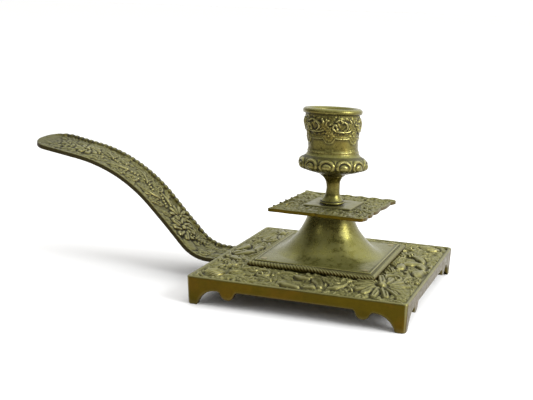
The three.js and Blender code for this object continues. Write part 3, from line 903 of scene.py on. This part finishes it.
# -------- handle
def handle_line(step):
    """Distance from the base's edge, height and heading along the handle's plate.

    HANDLE_RUN gives its straights as (length, 0, 0) and its bends as (0, degrees, radius).
    """
    points, at, heading = [(-TONGUE, HANDLE_ROOT_Z, 0.0)], np.array([-TONGUE, HANDLE_ROOT_Z]), 0.0
    for straight, turn, radius in HANDLE_RUN:
        bend = math.radians(turn)
        length = straight or abs(bend) * radius
        count = int(length / step)
        for _ in range(count):
            middle = heading + bend / count / 2
            at = at + np.array([math.cos(middle), math.sin(middle)]) * length / count
            heading += bend / count
            points.append((at[0], at[1], heading))
    return np.array(points)


def handle_relief(length):
    """Ornament on the handle: x runs along it from the base, y across it."""
    relief = Relief(-14, length + 4, -17, 17, 0.18)
    rng = np.random.default_rng(11)
    relief.foliage(rng, (-3, length - 6, -13, 13), 4.6, lambda x, y: 0.5 * y / 6 + 0.6 * math.sin(x / 7),
                   7.5, 4.6, 0.6)
    for x, side in ((3, 1), (3, -1), (9, 1), (9, -1)):
        relief.leaf(x, side * 4.5, 0.3 * side, 7.5, 5.2, 1.0, curl=-0.9 * side)
    relief.scroll(11.5, -6.6, 2.6, 1.2, 1.1, 1.0, 1.05, -1)
    relief.dome(20.6, -6.4, 3.4, 0.6, 1.3, 0.2, 1)
    relief.fan(34.5, 3.2, 0.5, 6.8, 8, math.radians(210), 1.4)
    relief.rosette(29.0, -1.4, 6.8, 9, 1.6, 0.2)
    relief.beads(np.array([[14.5, 5.8], [24.5, -0.5]]), 1.7, 0.9, 1.4)
    relief.beads(np.array([[42, -1.0], [50, 2.4]]), 1.7, 0.8, 1.1)
    relief.stroke(arc_path(42, 3.2, 0.3, 10, -0.5), 3.0, 1.3, 0.15, moat=1)
    for k in range(4):
        x = 48 + k * 11
        side = 1 if k % 2 else -1
        relief.leaf(x, side * 1.4, side * 0.75, 11, 7.0, 1.3, lobes=4, curl=-0.5 * side)
        relief.leaf(x + 3.4, -side * 2.6, -side * 0.9, 8.4, 5.6, 1.2, lobes=4, curl=0.9 * side)
        relief.scroll(x + 5.4, -side * 5.8, 2.9, rng.uniform(0, TURN), 1.1, 1.25, 1.0, side)
        relief.rosette(x + 1.2, side * 6.8, 2.2, 6, 0.9, k)
        relief.beads(np.array([[x + 5, side * 0.6], [x + 11, -side * 1.2]]), 1.7, 0.75, 1.1)
    relief.rosette(95, 0, 6.0, 9, 1.6)
    for side in (-1, 1):
        relief.leaf(99.5, side * 5.5, side * 0.5, 8, 5.0, 1.0, curl=-0.9 * side)
        relief.leaf(86, side * 7.5, side * 0.2, 7, 4.4, 0.9, curl=0.5 * side)
    relief.rosette(107, 2, 3.6, 7, 1.0)
    relief.pit(107, -5.5, 1.2, 0.4)
    relief.grain(2, 0.04)
    return relief.finish()


def handle_half(beyond):
    """Half the handle's width at a distance from the base's edge."""
    rounded = 10  # length of the rounded end
    centre = HANDLE_TIP - rounded
    plain = np.interp(beyond, [-3, 10, 30, 55, 77, centre], [13, 13, 12.4, 13.3, 14.8, 15.3])
    end = np.clip((beyond - centre) / rounded, 0, 1)
    return plain * np.sqrt(1 - end ** 2)


def make_handle():
    line = handle_line(0.27)
    line = line[line[:, 0] < HANDLE_TIP - 0.004]
    beyond, z, heading = line.T
    run = np.concatenate([[0], np.cumsum(np.hypot(np.diff(beyond), np.diff(z)))]) - TONGUE
    relief = handle_relief(run[-1])
    half = np.maximum(handle_half(beyond), 0.35)
    half = np.where(beyond < -2.6, 11.0, half)  # the tongue inside the skirt is narrower
    # shares of the half width, closer together towards the edges
    across = np.sin(np.linspace(-1, 1, 121) * math.pi / 2 * 0.97) / math.sin(math.pi / 2 * 0.97)
    columns, cavities = [], []

    def add(w, height, hollow):
        columns.append((w, np.broadcast_to(height, len(run))))
        cavities.append(np.broadcast_to(hollow, len(run)))

    tip = HANDLE_TIP - beyond
    smooth_tip = np.clip((6 - tip) / 4, 0, 1)
    for share in across:
        w = half * share
        edge = np.minimum(half - np.abs(w), np.maximum(tip, 0))
        far = 1.0 if share > 0 else 0.55  # the border towards the front has worn narrow and low
        rib = np.abs(np.cos(math.pi * run / MILL_PITCH)) ** 0.7
        border = np.clip(((2.1 + 0.4 * rib) * far + 0.2 - edge) / 0.45, 0, 1)
        crown = 1 - ((edge - 1.15) / 1.15).clip(-1, 1) ** 4 * 0.12
        mill = np.where(beyond < 0, 0.9, 1 - (1 - rib) * (0.55 if share > 0 else 0.3))
        rim = 1.1 * crown * (mill * (1 - smooth_tip) + smooth_tip * 0.95)
        field = relief.sample(run, w) - 0.3
        field = field * (1 - smooth_tip) + smooth_tip * (0.35 + 0.5 * np.clip(1 - edge / 9, 0, 1))
        height = field * (1 - border) + rim * border
        height = np.where(beyond < -2.2, 0.1, height)
        hollow = 1.5 * relief.sample(run, w, relief.depth) * (1 - border) * (1 - smooth_tip)
        hollow = hollow + border * (1 - smooth_tip) * ((0.85 - mill) * 1.7 + 0.1 * far) - 0.05 * smooth_tip
        hollow = hollow + 0.2 + 0.25 * np.clip((beyond - 78) / 15, 0, 1)  # darker towards the tip
        add(w, height, np.clip(hollow, -1, 1))
    add(half * 1.001, np.minimum(columns[-1][1] - 0.12, 0.7), 0)
    # down the back edge, along the underside and up the front edge, as (share, height, hollow); the hollow
    # values here are painted shade, darker low on the back edge and darkest on the underside and front edge
    under = -PLATE_THICKNESS
    for share, level, hollow in (
            (1, 0.4, 0.15), (1, -0.6, 0.15), (1, -0.9, 0.5), (0.985, under, 0.5), (0.5, under, 0.5),
            (-0.5, under, 0.5), (-0.985, under, 0.5), (-1, -0.9, 0.5), (-1, -0.6, 0.6), (-1, 0.4, 0.6)):
        add(half * share, level, hollow)
    add(half * -1.001, np.minimum(columns[0][1] - 0.12, 0.7), 0.5)
    rings = []
    for w, height in columns:
        twist = HANDLE_TWIST * np.maximum(beyond, 0) / HANDLE_TIP
        x = -BASE_HALF - beyond + height * np.sin(heading)
        up = z + height * np.cos(heading) + w * np.tan(twist)
        rings.append(np.stack([x, w, up], -1))
    rings = np.array(rings).transpose(1, 0, 2)[:, ::-1] + BASE_CENTRE
    cavity = np.array(cavities, float).T[:, ::-1]
    return ring_piece("handle_plate", rings, cavity, CAST, "handle", closed=False)


# -------- fasteners keep their CAD shape
def dress_fasteners():
    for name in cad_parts:
        if "screw" in name or name.startswith("tie_"):
            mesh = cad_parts[name].data
            mesh.materials.clear()
            mesh.materials.append(FASTENER)


# -------- floor, lights and camera
def make_floor():
    mesh = bpy.data.meshes.new("floor")
    reach = 4.0  # metres
    corners = [(-reach, -reach, 0), (reach, -reach, 0), (reach, reach, 0), (-reach, reach, 0)]
    mesh.from_pydata(corners, [], [(0, 1, 2, 3)])
    material = bpy.data.materials.new("pale_floor")
    material.use_nodes = True
    shader = material.node_tree.nodes["Principled BSDF"]
    shader.inputs["Base Color"].default_value = (0.94, 0.94, 0.94, 1)
    shader.inputs["Roughness"].default_value = 0.9
    mesh.materials.append(material)
    floor = add_object("floor", mesh)


def add_light(name, place, aim, size, power, colour):
    light = bpy.data.lights.new(name, "AREA")
    light.shape = "DISK"
    light.size = size
    light.energy = power
    light.color = colour
    holder = add_object(name, light)
    holder.location = place
    holder.rotation_euler = (Vector(aim) - Vector(place)).to_track_quat("-Z", "Y").to_euler()


def make_lights():
    """A large soft window on the right, a weak fill, and a world that is bright behind and above."""
    middle = Vector(AXIS * MM) + Vector((0, 0, 0.04))
    add_light("window", middle + Vector((0.95, -0.12, 0.52)), middle, 0.7, 14, (0.98, 0.99, 1.0))
    add_light("fill", middle + Vector((-0.5, -0.8, 0.5)), middle, 0.3, 0.4, (1.0, 0.99, 0.96))
    world = bpy.data.worlds.new("studio")
    world.use_nodes = True
    tree = world.node_tree
    direction = tree.nodes.new("ShaderNodeTexCoord")
    split = tree.nodes.new("ShaderNodeSeparateXYZ")
    tree.links.new(direction.outputs["Generated"], split.inputs[0])
    behind = map_range(tree, split.outputs["Y"], -0.02, 0.6)
    right = map_range(tree, split.outputs["X"], -0.2, 0.95)
    above = map_range(tree, split.outputs["Z"], 0.3, 0.95)
    amount = calculate(tree, "ADD", multiply(tree, behind, 0.95), multiply(tree, right, 0.5))
    amount = calculate(tree, "ADD", amount, multiply(tree, above, 0.95))
    strength = calculate(tree, "ADD", amount, 0.07)  # a little from all round
    background = tree.nodes["Background"]
    background.inputs["Color"].default_value = (1.0, 0.995, 0.985, 1)
    tree.links.new(strength, background.inputs["Strength"])
    bpy.context.scene.world = world


def make_camera():
    """The photo's camera, solved from the base's corners, at a distance in metres from its aim."""
    azimuth, elevation, roll = math.radians(20.32), math.radians(12.52), math.radians(1.27)
    distance = 0.4739
    back = Vector((math.sin(azimuth) * math.cos(elevation), -math.cos(azimuth) * math.cos(elevation),
                   math.sin(elevation)))
    level = Vector((math.cos(azimuth), math.sin(azimuth), 0))
    up = back.cross(level)
    right = level * math.cos(roll) + up * math.sin(roll)
    upward = up * math.cos(roll) - level * math.sin(roll)
    aim = Vector(BASE_CENTRE * MM) + level * -0.02982 + Vector((0, 0, 0.0420))
    camera = bpy.data.cameras.new("camera")
    camera.lens = 68.16
    camera.sensor_width = 36
    camera.clip_start = 0.01
    holder = add_object("camera", camera)
    turn = Matrix((right, upward, back)).transposed().to_4x4()
    holder.matrix_world = Matrix.Translation(aim + back * distance) @ turn
    bpy.context.scene.camera = holder


make_camera()
make_lights()
make_floor()
make_base()
make_bell()
make_rope()
make_pan()
make_stem()
make_cup()
make_handle()
dress_fasteners()
bpy.context.scene.view_settings.view_transform = "Standard"
